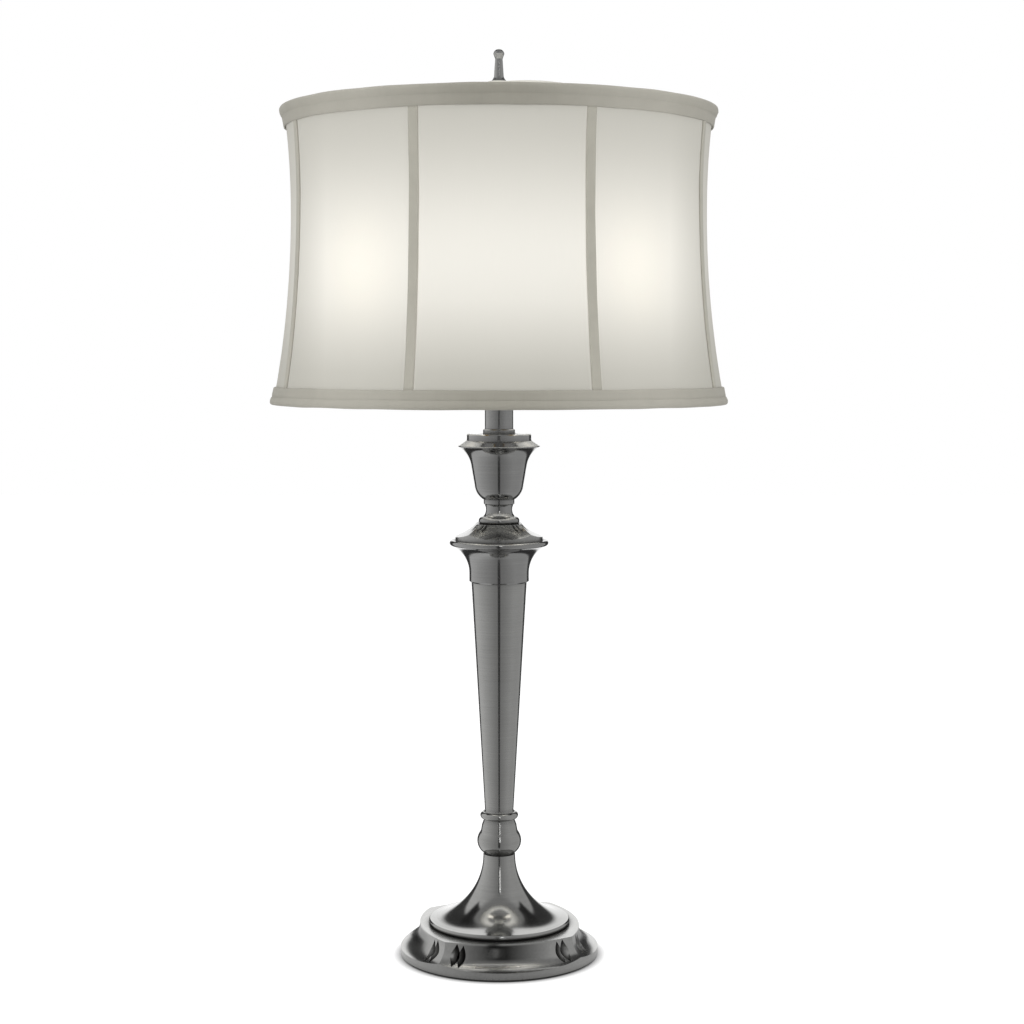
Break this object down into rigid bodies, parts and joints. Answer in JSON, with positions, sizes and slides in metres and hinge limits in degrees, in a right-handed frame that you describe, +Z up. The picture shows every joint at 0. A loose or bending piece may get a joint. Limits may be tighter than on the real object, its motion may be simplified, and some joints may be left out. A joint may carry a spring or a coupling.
{
  "type": "candlestick table lamp",
  "caption": "Tall candlestick table lamp: round foot with four coved sides, tapered column, candle cup and tube, twin bulbs under a waisted panelled fabric shade with a turned finial.",
  "frame": {"origin": "centre of the foot's underside, on the surface that the lamp stands on", "axes": "+Z up along the stem, -Y towards the viewer of the picture, +X to that viewer's right"},
  "size_m": [0.4072, 0.4072, 0.8137],
  "materials": {
    "pewter": "antique pewter plating, softly brushed, darker in the grooves",
    "felt": "pressed felt",
    "cast_iron": "rough sand casting",
    "bushing": "moulded",
    "zinc": "zinc plated steel",
    "frame_wire": "cream baked enamel",
    "shade_fabric": "stretched off-white woven fabric, light passes through",
    "shade_lining": "thin stretched lining",
    "shade_trim": "folded bias trim in the same cloth",
    "socket_brass": "spun brass",
    "socket_moulding": "moulded phenolic",
    "socket_card": "pressed card tube",
    "bulb_metal": "rolled thin sheet",
    "bulb_glass": "frosted inside",
    "chain": "nickel plated ball chain"
  },
  "bodies": {
    "lamp": {"felt_pad": "felt", "foot_casting": "pewter", "foot_weight": "cast_iron", "cord_bushing": "bushing", "pipe_washer": "zinc", "pipe_nut": "zinc", "lamp_pipe": "zinc", "bell": "pewter", "neck_ball": "pewter", "bead_ring": "pewter", "column": "pewter", "capital": "pewter", "knop_plate": "pewter", "cup_neck": "pewter", "candle_cup": "pewter", "cup_cap": "pewter", "candle_tube": "pewter", "tube_ring": "pewter", "tube_top": "pewter", "cluster_body": "pewter", "riser_rod": "zinc", "shade_rest": "pewter", "socket_cap_left": "socket_brass", "socket_core_left": "socket_moulding", "socket_screw_shell_left": "bulb_metal", "socket_liner_left": "socket_card", "socket_shell_left": "socket_brass", "chain_guide_left": "socket_brass", "socket_cap_right": "socket_brass", "socket_core_right": "socket_moulding", "socket_screw_shell_right": "bulb_metal", "socket_liner_right": "socket_card", "socket_shell_right": "socket_brass", "chain_guide_right": "socket_brass"},
    "hub_washer": {"hub_washer": "zinc"},
    "shade": {"shade_hub": "frame_wire", "shade_spider": "frame_wire", "shade_top_hoop": "frame_wire", "shade_bottom_hoop": "frame_wire", "shade_ribs": "frame_wire", "shade_cover": "shade_fabric", "shade_liner": "shade_lining", "top_trim": "shade_trim", "bottom_trim": "shade_trim", "rib_tapes": "shade_trim"},
    "finial": {"finial_foot": "pewter", "finial": "pewter"},
    "pull_chain_left": {"pull_chain_left": "chain"},
    "pull_chain_right": {"pull_chain_right": "chain"},
    "bulb_left": {"bulb_base_left": "bulb_metal", "bulb_glass_left": "bulb_glass"},
    "bulb_right": {"bulb_base_right": "bulb_metal", "bulb_glass_right": "bulb_glass"}
  },
  "joints": [
    {"name": "shade_lift", "type": "slide", "parent": "lamp", "child": "hub_washer", "axis": [0, 0, 1], "range_m": [0, 0.3]},
    {"name": "shade_turn", "type": "hinge", "parent": "hub_washer", "child": "shade", "pos_m": [0, 0, 0.7811], "axis": [0, 0, 1], "continuous": true},
    {"name": "finial_turn", "type": "hinge", "parent": "hub_washer", "child": "finial", "pos_m": [0, 0, 0.7852], "axis": [0, 0, 1], "continuous": true},
    {"name": "chain_pull_left", "type": "slide", "parent": "lamp", "child": "pull_chain_left", "axis": [0, 0, -1], "range_m": [0, 0.008], "stiffness_N_per_m": 900},
    {"name": "chain_pull_right", "type": "slide", "parent": "lamp", "child": "pull_chain_right", "axis": [0, 0, -1], "range_m": [0, 0.008], "stiffness_N_per_m": 900},
    {"name": "bulb_turn_left", "type": "hinge", "parent": "lamp", "child": "bulb_left", "pos_m": [-0.0513, 0, 0.6197], "axis": [-1, 0, 0], "continuous": true},
    {"name": "bulb_turn_right", "type": "hinge", "parent": "lamp", "child": "bulb_right", "pos_m": [0.0513, 0, 0.6197], "axis": [1, 0, 0], "continuous": true}
  ]
}
